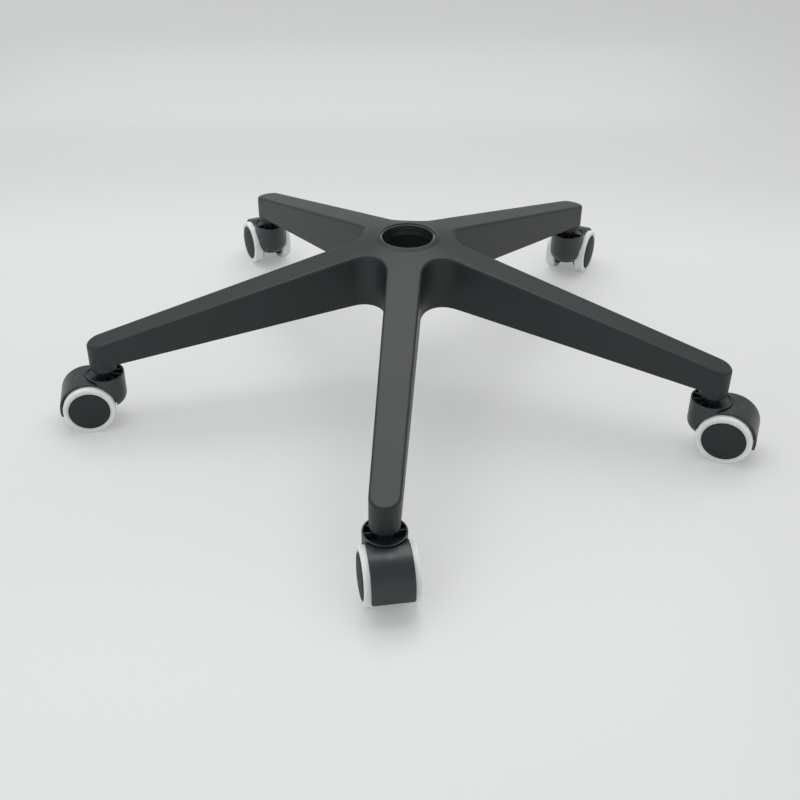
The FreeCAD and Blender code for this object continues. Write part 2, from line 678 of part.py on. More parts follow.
def make_cover(name):
    """Build the solid that becomes the cover over the wheels, with its corners rounded."""
    half = "cover_width / 2"
    drum = cylinder(name + "_drum", "cover_radius", f"-{half}", half, "Y", "caster_offset")
    low = ("0", f"-{half} - {MARGIN}", "cover_tail_height")
    far = f"cover_radius + {MARGIN}"
    high = (f"caster_offset + {far}", f"{half} + {MARGIN}", f"wheel_radius + {far}")
    tail = common(name + "_tail", drum, block(name + "_reach", low, high))
    corners = rounded(name + "_corners", tail, "cover_corner_radius", is_cover_corner)
    edged = rounded(name + "_edged", corners, "cover_edge_radius", is_cover_outline)
    return cut(name, edged, cover_crease(name))


def cover_crease(name):
    """Make the ring that creases the cover's top where the cup stands out of it."""
    top = f"cup_rim_height + {MARGIN}"
    outer = cylinder(name + "_crease_outer", "cup_radius + cup_groove_width", "cup_round_height", top)
    half = f"cover_width / 2 + {MARGIN}"
    floor = cylinder(name + "_crease_floor", "cover_radius - cup_groove_depth", f"-({half})", half, "Y",
                     "caster_offset")
    return cut(name + "_crease", outer, floor)


def hood_master():
    """Build the caster's housing: cup with ribs and tube, cover, web and axle boss."""
    name = "hood"
    wide = f"cover_width / 2 + {MARGIN}"
    cup = turned_body(name + "_cup", "XZ_Plane", *cup_outline("0", False, "cup_rim_height"))
    outside = fused(name + "_outside", [cup, make_cover(name + "_cover")])
    arch = cylinder(name + "_arch", "arch_radius", f"-({wide})", wide, "Y", "caster_offset")
    half = "web_thickness / 2"
    disc = "arch_radius + cover_wall / 2"
    plate = cylinder(name + "_plate", disc, f"-{half}", half, "Y", "caster_offset")
    above = block(name + "_above", (f"-{MARGIN}", f"-{half}", "wheel_radius - axle_boss_diameter / 2"),
                  ("caster_offset + cover_radius", half, "wheel_radius + cover_radius"))
    boss = cylinder(name + "_boss", "axle_boss_diameter / 2", "-axle_boss_length / 2",
                    "axle_boss_length / 2", "Y", "caster_offset")
    tube = cylinder(name + "_tube", "tube_radius", "tube_end_height", "tube_top_height")
    shell = cut(name + "_shell", outside, arch)
    web = common(name + "_web", plate, above)
    solid = fused(name + "_solid", [shell, web, boss, tube])
    room_outline = cup_outline("cup_wall", True, f"cup_rim_height + {MARGIN}")
    room = turned_body(name + "_room", "XZ_Plane", *room_outline)
    roof = cylinder(name + "_roof", "cover_radius", f"-({wide})", wide, "Y", "caster_offset")
    keep_tube = cylinder(name + "_tube_keep", "tube_radius", "0", f"tube_top_height + {MARGIN}")
    rib_top = "cup_rim_height - cup_rib_drop"
    half_rib = "cup_rib_thickness / 2"
    slabs = [slab(f"cup_rib_{t}", "0", "cup_radius", half_rib, "0", rib_top, str(t)) for t in CUP_RIB_TURNS]
    clear_half = block(name + "_clear_half", (f"-cup_radius - {MARGIN}", f"-cup_radius - {MARGIN}", "0"),
                       (half_rib, f"cup_radius + {MARGIN}", rib_top))
    ribs = common(name + "_ribs", fused(name + "_rib_star", slabs), clear_half)
    hollow = cut(name + "_hollow", room, fused(name + "_keep", [roof, keep_tube, ribs]))
    bore = "neck_bore_radius"
    bead_low = "snap_height - snap_bead_width / 2"
    bead_high = "snap_height + snap_bead_width / 2"
    drills = [cylinder(name + "_bore_low", bore, "neck_end_height - neck_end_clearance", bead_low),
              cylinder(name + "_bore_bead", f"{bore} - snap_bead_height", bead_low, bead_high),
              cylinder(name + "_bore_high", bore, bead_high, f"tube_top_height + {MARGIN}"),
              cylinder(name + "_axle_hole", "axle_diameter / 2", f"-({wide})", wide, "Y", "caster_offset")]
    boss_room = cylinder(name + "_boss_room", "boss_diameter / 2 + boss_clearance", "boss_room_height",
                         f"tube_top_height + {MARGIN}")
    return cut(name, solid, fused(name + "_cuts", [hollow, boss_room] + drills))


def axle_master():
    """Build the axle pin, with chamfered ends."""
    radius = "axle_diameter / 2"
    half = "axle_length / 2"
    inner = f"{radius} - axle_chamfer"
    step = f"{half} - axle_chamfer"
    corners = [("0", f"-{half}"), (inner, f"-{half}"), (radius, f"-({step})"), (radius, step), (inner, half)]
    return turned_body("axle", "XY_Plane", corners + [("0", half)])


def core_master():
    """Build a wheel's moulded core: hub, web with ribs and rim."""
    bore = "axle_diameter / 2 + axle_clearance"
    hub = "core_hub_diameter / 2"
    start = "core_hub_start"
    end = "core_hub_start + core_hub_length"
    web = "core_web_start"
    web_end = "core_web_start + core_web_thickness"
    rim = "core_rim_bore_radius"
    outer = "core_rim_radius"
    corners = [(bore, start), (hub, start), (hub, web), (rim, web), (rim, "core_rim_start")]
    corners += [(outer, "core_rim_start"), (outer, "wheel_face"), (rim, "wheel_face")]
    corners += [(rim, web_end), (hub, web_end), (hub, end), (bore, end)]
    core = turned_body("wheel_core", "XY_Plane", corners)
    spokes = new_sketch(core, "core_spoke_plan", "XY_Plane")
    inside = f"{hub} - core_rim_wall / 2"
    outside = f"{rim} + core_rim_wall / 2"
    low = "core_rim_start + core_rim_wall"
    polygon(spokes, [(inside, low), (outside, low), (outside, web), (inside, web)])
    pad = core.newObject("PartDesign::Pad", "core_spoke")
    pad.Profile = spokes
    bind(pad, "Length", "core_spoke_thickness")
    pad.Midplane = True
    spokes.Visibility = False
    repeat_around(core, pad, "Y_Axis", CORE_SPOKES)
    return core


def tyre_master():
    """Build a wheel's soft tyre, with a chamfered inner and a rounded outer shoulder."""
    inner = "core_rim_radius"
    outer = "wheel_radius"
    shoulder = f"{outer} - tyre_outer_radius"
    face = "wheel_face"
    corners = [(inner, "tyre_start"), (f"{outer} - tyre_inner_chamfer", "tyre_start")]
    corners += [(outer, "tyre_start + tyre_inner_chamfer"), (outer, f"{face} - tyre_outer_radius")]
    corners += [(shoulder, face), (inner, face)]
    arcs = {3: (shoulder, f"{face} - tyre_outer_radius", True)}
    return turned_body("wheel_tyre", "XY_Plane", corners, arcs)


def cap_master():
    """Build the domed disc on a wheel's outer face, with the ring that presses into the rim."""
    edge = "cap_radius"
    plug = "core_rim_bore_radius"
    plug_inner = f"{plug} - cap_plug_wall"
    face = "wheel_face"
    plug_end = f"{face} - cap_plug_length"
    dome_centre = "cap_crown_face - (cap_radius * cap_radius + cap_dome * cap_dome) / (2 * cap_dome)"
    corners = [("0", "cap_crown_face - cap_wall"), (plug_inner, "cap_edge_face - cap_wall")]
    corners += [(plug_inner, plug_end), (plug, plug_end), (plug, face), (edge, face)]
    corners += [(edge, "cap_edge_face"), ("0", "cap_crown_face")]
    return turned_body("wheel_cap", "XY_Plane", corners, {6: ("0", dome_centre, True)})


def make_casters():
    """Build each caster piece once and repeat it at every arm, and the wheel's pieces on both sides."""
    fixed = {"stem": stem_master(), "grip_ring": grip_ring_master(), "hood": hood_master()}
    axle = axle_master()
    rolling = {"core": core_master(), "tyre": tyre_master(), "cap": cap_master()}
    pieces = []
    for number in CASTERS:
        for kind, master in fixed.items():
            piece = placed_copy(f"caster_{number}_{kind}", master)
            place_at_stem(piece, number)
            pieces.append(piece)
        piece = placed_copy(f"caster_{number}_axle", axle)
        place_at_wheel(piece, number, 0)
        pieces.append(piece)
        for side, half_turn in WHEEL_SIDES:
            for kind, master in rolling.items():
                piece = placed_copy(f"caster_{number}_{kind}_{side}", master)
                place_at_wheel(piece, number, half_turn)
                pieces.append(piece)
    return pieces


def check(pieces):
    """Stop if any object failed or any piece is not one valid solid."""
    for obj in doc.Objects:
        if "Invalid" in obj.State or "Error" in obj.State:
            raise RuntimeError(f"{obj.Name} failed: {obj.State}")
    for piece in pieces:
        if piece.Shape.isNull() or not piece.Shape.isValid():
            raise RuntimeError(f"{piece.Label} has no valid shape")
        if len(piece.Shape.Solids) != 1:
            raise RuntimeError(f"{piece.Label} has {len(piece.Shape.Solids)} solids")


pieces = [make_star_base(), make_hub_ring()] + make_casters()
doc.recompute()
check(pieces)
os.makedirs("parts", exist_ok=True)
for piece in pieces:
    piece.Shape.exportStep(f"parts/{piece.Label}.step")
    print(f"{piece.Label}: {piece.Shape.Volume / 1000:.3f} cm3")
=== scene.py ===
"""Dresses the five star chair base for its picture.

The moulded star, its steel ring and the five twin wheel casters come from the frame. This script
gives each of them its finish, turns the tyres and caps anew with softened edges, and sets up the
pale studio, its lamps and the camera. Lengths are in metres, and the frame's origin is on the
hub's axis at the mouth of the ring's bore, with +Z up.
"""

import json
import logging
import math
from dataclasses import dataclass, replace
from enum import Enum
from typing import Union

import bmesh
import bpy
import numpy as np
from mathutils import Matrix, Vector


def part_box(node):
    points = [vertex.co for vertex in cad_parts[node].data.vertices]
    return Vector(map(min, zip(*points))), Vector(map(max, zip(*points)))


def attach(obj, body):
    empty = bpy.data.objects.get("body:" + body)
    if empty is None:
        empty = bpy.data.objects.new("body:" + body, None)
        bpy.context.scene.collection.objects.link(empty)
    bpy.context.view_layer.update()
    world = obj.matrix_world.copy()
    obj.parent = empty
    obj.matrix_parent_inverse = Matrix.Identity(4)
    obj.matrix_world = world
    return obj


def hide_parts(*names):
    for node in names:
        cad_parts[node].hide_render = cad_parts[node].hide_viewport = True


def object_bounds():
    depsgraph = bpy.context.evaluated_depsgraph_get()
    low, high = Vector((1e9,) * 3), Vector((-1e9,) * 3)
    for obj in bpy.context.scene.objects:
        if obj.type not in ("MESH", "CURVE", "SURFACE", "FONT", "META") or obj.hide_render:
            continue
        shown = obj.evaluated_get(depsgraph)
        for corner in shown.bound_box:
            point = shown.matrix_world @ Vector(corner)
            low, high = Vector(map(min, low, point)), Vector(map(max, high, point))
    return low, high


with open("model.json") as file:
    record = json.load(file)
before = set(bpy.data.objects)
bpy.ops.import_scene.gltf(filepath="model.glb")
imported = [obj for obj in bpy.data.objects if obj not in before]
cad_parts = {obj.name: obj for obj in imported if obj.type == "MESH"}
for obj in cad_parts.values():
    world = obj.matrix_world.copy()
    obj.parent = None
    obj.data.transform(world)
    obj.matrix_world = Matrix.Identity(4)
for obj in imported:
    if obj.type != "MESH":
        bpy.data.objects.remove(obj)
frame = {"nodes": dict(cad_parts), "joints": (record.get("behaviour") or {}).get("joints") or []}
CAD_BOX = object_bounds()

LOG = logging.getLogger("star_base")
MM = 0.001
CASTERS = (1, 2, 3, 4, 5)
MERGE_GAP = 1e-6

Rgb = tuple[float, float, float]
Place = tuple[float, float, float]
Stops = tuple[tuple[float, float], ...]
Array = np.ndarray


class Side(Enum):
    """The two wheels of a caster, as seen along its tail."""

    LEFT = "left"
    RIGHT = "right"


def linear(red: float, green: float, blue: float) -> Rgb:
    """Turn a colour from the 0 to 255 scale of a screen into linear light.

    Each channel above 0.04045 is ((c + 0.055) / 1.055) to the power 2.4, and c / 12.92 below.

    Args:
        red: red from 0 to 255.
        green: green from 0 to 255.
        blue: blue from 0 to 255.

    Returns:
        The colour in linear light.
    """
    channels = (red / 255, green / 255, blue / 255)
    bright = [((c + 0.055) / 1.055) ** 2.4 if c > 0.04045 else c / 12.92 for c in channels]
    return bright[0], bright[1], bright[2]


def shade(colour: Rgb, share: float) -> Rgb:
    """Return a colour with each channel times a share, and none above 1."""
    red, green, blue = (min(1.0, channel * share) for channel in colour)
    return red, green, blue


class Wire:
    """A node's output socket that does arithmetic by adding Math nodes."""

    def __init__(self, graph: "Graph", socket: bpy.types.NodeSocket) -> None:
        """Wrap one output socket of a graph."""
        self.graph = graph
        self.socket = socket

    def _math(self, operation: str, first: "Input", second: "Input") -> "Wire":
        """Add a Math node and return its result."""
        return self.graph.add("ShaderNodeMath", {"operation": operation}, {0: first, 1: second})

    def __add__(self, other: "Input") -> "Wire":
        """Add."""
        return self._math("ADD", self, other)

    def __radd__(self, other: "Input") -> "Wire":
        """Add to a number."""
        return self._math("ADD", other, self)

    def __sub__(self, other: "Input") -> "Wire":
        """Subtract."""
        return self._math("SUBTRACT", self, other)

    def __rsub__(self, other: "Input") -> "Wire":
        """Subtract from a number."""
        return self._math("SUBTRACT", other, self)

    def __mul__(self, other: "Input") -> "Wire":
        """Multiply."""
        return self._math("MULTIPLY", self, other)

    def __rmul__(self, other: "Input") -> "Wire":
        """Multiply a number."""
        return self._math("MULTIPLY", other, self)

    def __truediv__(self, other: "Input") -> "Wire":
        """Divide."""
        return self._math("DIVIDE", self, other)


Input = Union[Wire, float, tuple]
Colour = Union[Wire, Rgb]


class Graph:
    """The node tree of one material or world."""

    def __init__(self, tree: bpy.types.NodeTree) -> None:
        """Clear a tree and keep it."""
        self.tree = tree
        tree.nodes.clear()

    def add(self, kind: str, settings: dict, inputs: dict, output: Union[int, str] = 0) -> Wire:
        """Add a node, with its settings first and then its sockets.

        Args:
            kind: the node's type.
            settings: its own settings; "stops" sets a ramp's (place, grey) pairs.
            inputs: values or wires by the socket's name or number.
            output: the socket to return.

        Returns:
            The chosen output.
        """
        node = self.tree.nodes.new(kind)
        stops = settings.pop("stops", None)
        for name, value in settings.items():
            setattr(node, name, value)
        if stops:
            self._fill_ramp(node.color_ramp, stops)
        for name, value in inputs.items():
            self._feed(node.inputs[name], value)
        return Wire(self, node.outputs[output])

    def _feed(self, socket: bpy.types.NodeSocket, value: Input) -> None:
        """Link a wire to a socket, or set its value.

        Args:
            socket: the socket to feed.
            value: a wire, or what the socket is set to.
        """
        if isinstance(value, Wire):
            self.tree.links.new(value.socket, socket)
        else:
            socket.default_value = value

    @staticmethod
    def _fill_ramp(ramp: bpy.types.ColorRamp, stops: Stops) -> None:
        """Set a ramp's two or more grey stops.

        Args:
            ramp: the ramp of a new node, which has two stops.
            stops: (place, grey) pairs, in rising order of place.
        """
        while len(ramp.elements) < len(stops):
            ramp.elements.new(0.5)
        for element, (place, grey) in zip(ramp.elements, stops):
            element.position = place
            element.color = (grey, grey, grey, 1.0)

    def place(self) -> Wire:
        """Return Object coordinates."""
        return self.add("ShaderNodeTexCoord", {}, {}, "Object")

    def noise(self, where: Wire, scale: float, detail: float = 2.0, roughness: float = 0.5) -> Wire:
        """Return a noise of about 0 to 1, with features of 1 / scale metres."""
        sockets = {"Vector": where, "Scale": scale, "Detail": detail, "Roughness": roughness}
        return self.add("ShaderNodeTexNoise", {}, sockets, 0)

    def blend(self, amount: Input, first: Colour, second: Colour) -> Wire:
        """Mix two colours, by the numbers that a Mix node's colour sockets have.

        Args:
            amount: share of the second colour, from 0 to 1.
            first: the colour at 0.
            second: the colour at 1.

        Returns:
            The mixed colour.
        """
        second_value = second if isinstance(second, Wire) else (*second, 1.0)
        first_value = first if isinstance(first, Wire) else (*first, 1.0)
        sockets = {0: amount, 6: first_value, 7: second_value}
        return self.add("ShaderNodeMix", {"data_type": "RGBA"}, sockets, 2)

    def ramp(self, value: Wire, stops: Stops) -> Wire:
        """Bend a value by straight lines through (place, grey) stops."""
        return self.add("ShaderNodeValToRGB", {"stops": stops}, {0: value})

    def bump(self, height: Wire, distance: float, strength: float, normal: Wire) -> Wire:
        """Turn a height from 0 to 1 into a normal, with its full depth in metres."""
        sockets = {"Height": height, "Distance": distance, "Strength": strength, "Normal": normal}
        return self.add("ShaderNodeBump", {}, sockets)

    def soft_edges(self, radius: float) -> Wire:
        """Return the normal with sharp edges rounded by a radius."""
        return self.add("ShaderNodeBevel", {"samples": 6}, {"Radius": radius})

    def skin(self, sockets: dict) -> Wire:
        """Return a Principled shader."""
        return self.add("ShaderNodeBsdfPrincipled", {}, sockets)

    def finish(self, shader: Wire, kind: str = "ShaderNodeOutputMaterial") -> None:
        """Add the output node and link the surface to it."""
        node = self.tree.nodes.new(kind)
        self.tree.links.new(shader.socket, node.inputs["Surface"])


@dataclass(frozen=True)
class Finish:
    """A surface finish that becomes one material, under a name that the frame doesn't use.

    Attributes:
        name: the material's name.
        colour: its main colour.
    """

    name: str
    colour: Rgb

    def material(self) -> bpy.types.Material:
        """Make the material at the first call, and share it at the next ones.

        Returns:
            The material.
        """
        found = bpy.data.materials.get(self.name)
        if found is not None:
            return found
        made = bpy.data.materials.new(self.name)
        made.use_nodes = True
        made.diffuse_color = (*self.colour, 1.0)
        graph = Graph(made.node_tree)
        graph.finish(self.shader(graph))
        return made

    def shader(self, graph: Graph) -> Wire:
        """Build the surface's shader."""
        raise NotImplementedError

    def paint(self, piece: bpy.types.Object) -> None:
        """Give a piece this finish all over."""
        piece.data.materials.clear()
        piece.data.materials.append(self.material())


@dataclass(frozen=True)
class MouldedNylon(Finish):
    """Glass filled nylon as it leaves an eroded mould: satin, finely pitted, faintly clouded.

    Attributes:
        index: index of refraction, which sets how much the skin mirrors.
        gloss: share of that mirroring which the pitted skin keeps, where 0.5 is all of it.
        roughness: mean roughness of the skin.
        grain_size: spacing of the mould's pits.
        grain_depth: depth of the pits.
        grain_spread: how much the pits change the roughness.
        cloud: share by which flow marks lighten or darken the colour.
        cloud_scale: flow marks in a metre.
        cloud_spread: how much the flow marks change the roughness.
        cloud_stops: how sharply the flow marks set off from each other.
        speck: share of the paler colour in the specks.
        speck_scale: specks to one spacing of the pits.
        speck_light: how many times lighter the specks' colour is.
        speck_stops: how few and how sharp the specks are.
        edge_radius: softness of edges that the mould leaves sharp.
    """

    index: float = 1.45
    gloss: float = 0.45
    roughness: float = 0.5
    grain_size: float = 0.9 * MM
    grain_depth: float = 0.06 * MM
    grain_spread: float = 0.1
    cloud: float = 0.16
    cloud_scale: float = 14.0
    cloud_spread: float = 0.14
    cloud_stops: Stops = ((0.32, 0.0), (0.68, 1.0))
    speck: float = 0.22
    speck_scale: float = 2.6
    speck_light: float = 2.4
    speck_stops: Stops = ((0.60, 0.0), (0.74, 1.0))
    edge_radius: float = 0.5 * MM

    def shader(self, graph: Graph) -> Wire:
        """Cloud and speck the colour, and pit the skin.

        Args:
            graph: the material's node tree.

        Returns:
            The shader.
        """
        where = graph.place()
        flow = graph.noise(where, self.cloud_scale, 3.0, 0.55)
        fine = graph.noise(where, 1.0 / self.grain_size, 3.0, 0.6)
        coarse = graph.noise(where, self.speck_scale / self.grain_size, 1.0)
        specks = graph.ramp(coarse, self.speck_stops)
        dark, light = (shade(self.colour, 1 + way * self.cloud) for way in (-1, 1))
        base = graph.blend(graph.ramp(flow, self.cloud_stops), dark, light)
        specked = graph.blend(specks * self.speck, base, shade(self.colour, self.speck_light))
        specked = self.marked(graph, where, specked)
        edges = graph.soft_edges(self.edge_radius)
        normal = graph.bump(fine, self.grain_depth, 1.0, edges)
        rough = self.roughness + (flow - 0.5) * self.cloud_spread + (fine - 0.5) * self.grain_spread
        sockets = {"Base Color": specked, "Roughness": rough, "Normal": normal, "IOR": self.index}
        sockets["Specular IOR Level"] = self.gloss
        return graph.skin(sockets)

    def marked(self, graph: Graph, where: Wire, base: Wire) -> Wire:
        """Return the colour as it is, for a skin with no marks of its own."""
        return base


@dataclass(frozen=True)
class GatedNylon(MouldedNylon):
    """Moulded nylon with a pale blush where the melt came in.

    Attributes:
        gate: middle of the blush.
        blush_radius: how far the blush reaches.
        blush: share of the paler colour in its middle.
        blush_colour: the paler colour.
        ragged: share by which the blush's edge wanders in and out.
        ragged_scale: wanderings in a metre.
    """

    gate: Place = (0.0, 0.0, 0.0)
    blush_radius: float = 4.5 * MM
    blush: float = 0.5
    blush_colour: Rgb = linear(92, 94, 96)
    ragged: float = 0.6
    ragged_scale: float = 900.0

    def marked(self, graph: Graph, where: Wire, base: Wire) -> Wire:
        """Pale the colour around the gate, more towards its middle.

        Args:
            graph: the material's node tree.
            where: Object coordinates.
            base: the colour without the blush.

        Returns:
            The colour with the blush.
        """
        measure = {"operation": "DISTANCE"}
        gap = graph.add("ShaderNodeVectorMath", measure, {0: where, 1: self.gate}, "Value")
        wander = 1 + self.ragged / 2 - graph.noise(where, self.ragged_scale, 2.0) * self.ragged
        stops = ((0.1, self.blush), (0.45, self.blush * 0.35), (1.0, 0.0))
        amount = graph.ramp(gap * wander / self.blush_radius, stops)
        return graph.blend(amount, base, self.blush_colour)


@dataclass(frozen=True)
class SoftUrethane(Finish):
    """Pale matt urethane, blotched a little darker as by floor dust.

    Attributes:
        index: index of refraction.
        roughness: mean roughness.
        blotch_scale: blotches in a metre.
        blotch_spread: how much the blotches change the roughness.
        dust: share of the dust's colour in the blotches.
        dust_shade: the dust's colour, as a share of the main one.
        grain_scale: grains in a metre.
        grain_depth: depth of the grain.
        grain_strength: share of that depth which shows.
        edge_radius: softness of the edges.
        milk: share of the light that goes in and comes out again.
        milk_tint: how far each colour goes in, as shares of milk_depth.
        milk_depth: how far light goes in.
    """

    index: float = 1.5
    roughness: float = 0.46
    blotch_scale: float = 160.0
    blotch_spread: float = 0.16
    dust: float = 0.18
    dust_shade: float = 0.8
    grain_scale: float = 2600.0
    grain_depth: float = 0.02 * MM
    grain_strength: float = 0.6
    edge_radius: float = 0.4 * MM
    milk: float = 0.12
    milk_tint: Rgb = (1.0, 0.9, 0.8)
    milk_depth: float = 1.5 * MM

    def shader(self, graph: Graph) -> Wire:
        """Blotch the colour faintly and let a little light in.

        Args:
            graph: the material's node tree.

        Returns:
            The shader.
        """
        where = graph.place()
        blotch = graph.noise(where, self.blotch_scale, 4.0, 0.6)
        fine = graph.noise(where, self.grain_scale, 2.0)
        amount = graph.ramp(blotch, ((0.42, 0.0), (0.8, self.dust)))
        base = graph.blend(amount, self.colour, shade(self.colour, self.dust_shade))
        edges = graph.soft_edges(self.edge_radius)
        normal = graph.bump(fine, self.grain_depth, self.grain_strength, edges)
        rough = self.roughness + (blotch - 0.5) * self.blotch_spread
        sockets = {"Base Color": base, "Roughness": rough, "Normal": normal, "IOR": self.index}
        sockets["Subsurface Weight"] = self.milk
        sockets["Subsurface Radius"] = self.milk_tint
        sockets["Subsurface Scale"] = self.milk_depth
        return graph.skin(sockets)


@dataclass(frozen=True)
class TurnedSteel(Finish):
    """Turned steel with fine rings about an upright axis.

    Attributes:
        roughness: mean roughness.
        ring_pitch: spacing of the turning marks along the axis.
        ring_stretch: changes of a mark in a metre across the axis.
        ring_spread: how much the marks change the roughness.
        ring_depth: depth of the marks.
        ring_strength: share of that depth which shows.
        stain: share of the stain's colour where it is strongest.
        stain_shade: the stain's colour, as a share of the main one.
        stain_scale: stains in a metre.
        edge_radius: softness of the edges.
    """

    roughness: float = 0.3
    ring_pitch: float = 0.35 * MM
    ring_stretch: float = 20.0
    ring_spread: float = 0.2
    ring_depth: float = 0.02 * MM
    ring_strength: float = 0.5
    stain: float = 0.4
    stain_shade: float = 0.6
    stain_scale: float = 90.0
    edge_radius: float = 0.3 * MM

    def shader(self, graph: Graph) -> Wire:
        """Stretch a noise round the axis so that it reads as turning marks.

        Args:
            graph: the material's node tree.

        Returns:
            The shader.
        """
        where = graph.place()
        squeeze = (self.ring_stretch, self.ring_stretch, 1.0 / self.ring_pitch)
        squeezed = graph.add("ShaderNodeMapping", {}, {"Vector": where, "Scale": squeeze})
        marks = graph.noise(squeezed, 1.0, 3.0)
        stains = graph.noise(where, self.stain_scale, 3.0)
        base = graph.blend(stains * self.stain, self.colour, shade(self.colour, self.stain_shade))
        rough = self.roughness + (marks - 0.5) * self.ring_spread
        edges = graph.soft_edges(self.edge_radius)
        normal = graph.bump(marks, self.ring_depth, self.ring_strength, edges)
        return graph.skin({"Base Color": base, "Roughness": rough, "Normal": normal,
                           "Metallic": 1.0})


@dataclass(frozen=True)
class SeamlessPaper(Finish):
    """The studio's pale sheet, with the faintest sheen, and painted shade that darkens it towards
    the back.

    Attributes:
        index: index of refraction.
        roughness: roughness of the sheet.
        glow: share of plain pale light that the camera sees in place of the lit sheet.
        glow_colour: colour of that light.
        painted_shade_start: how far behind the hub the painted shade starts to darken the sheet.
        painted_shade_end: where the painted shade is darkest.
        painted_shade_stops: how the painted shade runs between the two.
        grey: share of its colour and glow that the painted shade leaves where it is darkest.
    """

    index: float = 1.5
    roughness: float = 0.24
    glow: float = 0.37
    glow_colour: Rgb = linear(220, 222, 221)
    painted_shade_start: float = 0.3
    painted_shade_end: float = 0.8
    painted_shade_stops: Stops = ((0.0, 0.0), (0.45, 0.6), (1.0, 1.0))
    grey: float = 0.81

    def shader(self, graph: Graph) -> Wire:
        """Lift what the camera sees of the sheet, darken it towards the back with painted shade,
        and let its back show what stands on it.

        Args:
            graph: the material's node tree.

        Returns:
            The shader.
        """
        # Painted shade: the sheet's colour and its glow darken towards the back, standing in for
        # the lesser light that falls there.
        depth = graph.add("ShaderNodeSeparateXYZ", {}, {0: graph.place()}, "Y") - self.painted_shade_start
        far = graph.ramp(depth / (self.painted_shade_end - self.painted_shade_start), self.painted_shade_stops)
        colour = graph.blend(far, self.colour, shade(self.colour, self.grey))
        shine = graph.blend(far, self.glow_colour, shade(self.glow_colour, self.grey))
        paper = graph.skin({"Base Color": colour, "Roughness": self.roughness, "IOR": self.index})
        light = graph.add("ShaderNodeEmission", {}, {"Color": shine, "Strength": 1.0})
        seen = graph.add("ShaderNodeLightPath", {}, {}, "Is Camera Ray")
        front = graph.add("ShaderNodeMixShader", {}, {0: seen * self.glow, 1: paper, 2: light})
        behind = graph.add("ShaderNodeNewGeometry", {}, {}, "Backfacing")
        clear = graph.add("ShaderNodeBsdfTransparent", {}, {})
        return graph.add("ShaderNodeMixShader", {}, {0: behind, 1: front, 2: clear})


STAR_NYLON = MouldedNylon("star_skin", linear(25, 30, 32), roughness=0.46, gloss=0.63)
HOOD_NYLON = GatedNylon("hood_skin", linear(26, 32, 36), roughness=0.36, gloss=0.88,
                        grain_depth=0.03 * MM)
CORE_NYLON = MouldedNylon("core_skin", linear(20, 20, 21), roughness=0.45, grain_depth=0.03 * MM)
CAP_NYLON = MouldedNylon("cap_skin", linear(54, 56, 57), roughness=0.6, gloss=0.2,
                         grain_depth=0.03 * MM)
TYRE_URETHANE = SoftUrethane("tyre_urethane", linear(244, 246, 245))
BRIGHT_STEEL = TurnedSteel("bright_steel", linear(176, 177, 178))
SPRING_STEEL = TurnedSteel("blued_spring", linear(120, 120, 124), roughness=0.4)
STUDIO_SHEET = SeamlessPaper("studio_sheet", linear(232, 232, 231))


def rounded(corners: list[tuple[float, float, float]], steps: int = 6) -> Array:
    """Round the corners of a closed outline.

    A corner with a radius is replaced by an arc that touches both of its sides. With half the
    angle between the sides a, the sides are touched r / tan(a) from the corner, and the arc's
    middle lies r / sin(a) from it. The arc's points turn about that middle in even steps, each a
    mix of the two touching points by sin((1 - u) * t) and sin(u * t) over sin(t), where t is the
    turn and u runs from 0 to 1.

    Args:
        corners: (along, out, radius) of each corner, in order.
        steps: segments in each arc.

    Returns:
        An array of (along, out) points.
    """
    points = np.array([corner[:2] for corner in corners])
    befores, afters = np.roll(points, 1, 0), np.roll(points, -1, 0)
    parts = []
    for here, before, after, corner in zip(points, befores, afters, corners):
        radius = corner[2]
        if radius <= 0:
            parts.append(here[None])
            continue
        back = (before - here) / np.linalg.norm(before - here)
        ahead = (after - here) / np.linalg.norm(after - here)
        half = math.acos(float(np.clip(back @ ahead, -1, 1))) / 2
        between = (back + ahead) / np.linalg.norm(back + ahead)
        centre = here + between * radius / math.sin(half)
        start = here + back * radius / math.tan(half) - centre
        end = here + ahead * radius / math.tan(half) - centre
        sweep = math.pi - 2 * half
        share = np.linspace(0, 1, steps + 1)[:, None]
        arc = (np.sin((1 - share) * sweep) * start + np.sin(share * sweep) * end) / math.sin(sweep)
        parts.append(centre + arc)
    return np.concatenate(parts)


def turned(name: str, outline: Array, centre: Vector, axis: Vector,
           segments: int) -> bpy.types.Object:
    """Turn a closed outline once about an axis.

    The point at share u of the outline and angle v is
    centre + along(u) * axis + out(u) * (cos v * across + sin v * over),
    where across and over stand square to the axis.

    Args:
        name: the piece's name.
        outline: (along, out) points in order, either way round.
        centre: the point on the axis that along is measured from.
        axis: direction of the axis.
        segments: facets around.

    Returns:
        The piece, smooth shaded.
    """
    line = np.array(axis.normalized())
    across = np.array(axis.orthogonal().normalized())
    over = np.cross(line, across)
    angle = np.linspace(0, 2 * math.pi, segments, endpoint=False)[:, None, None]
    spoke = np.cos(angle) * across + np.sin(angle) * over
    points = np.array(centre) + outline[None, :, :1] * line + outline[None, :, 1:] * spoke
    count = len(outline)
    ring, spot = np.meshgrid(np.arange(segments), np.arange(count), indexing="ij")
    after, above = (ring + 1) % segments * count, (spot + 1) % count
    ring = ring * count
    faces = np.stack([ring + spot, after + spot, after + above, ring + above], -1)
    return surface(name, points.reshape(-1, 3), faces.reshape(-1, 4))


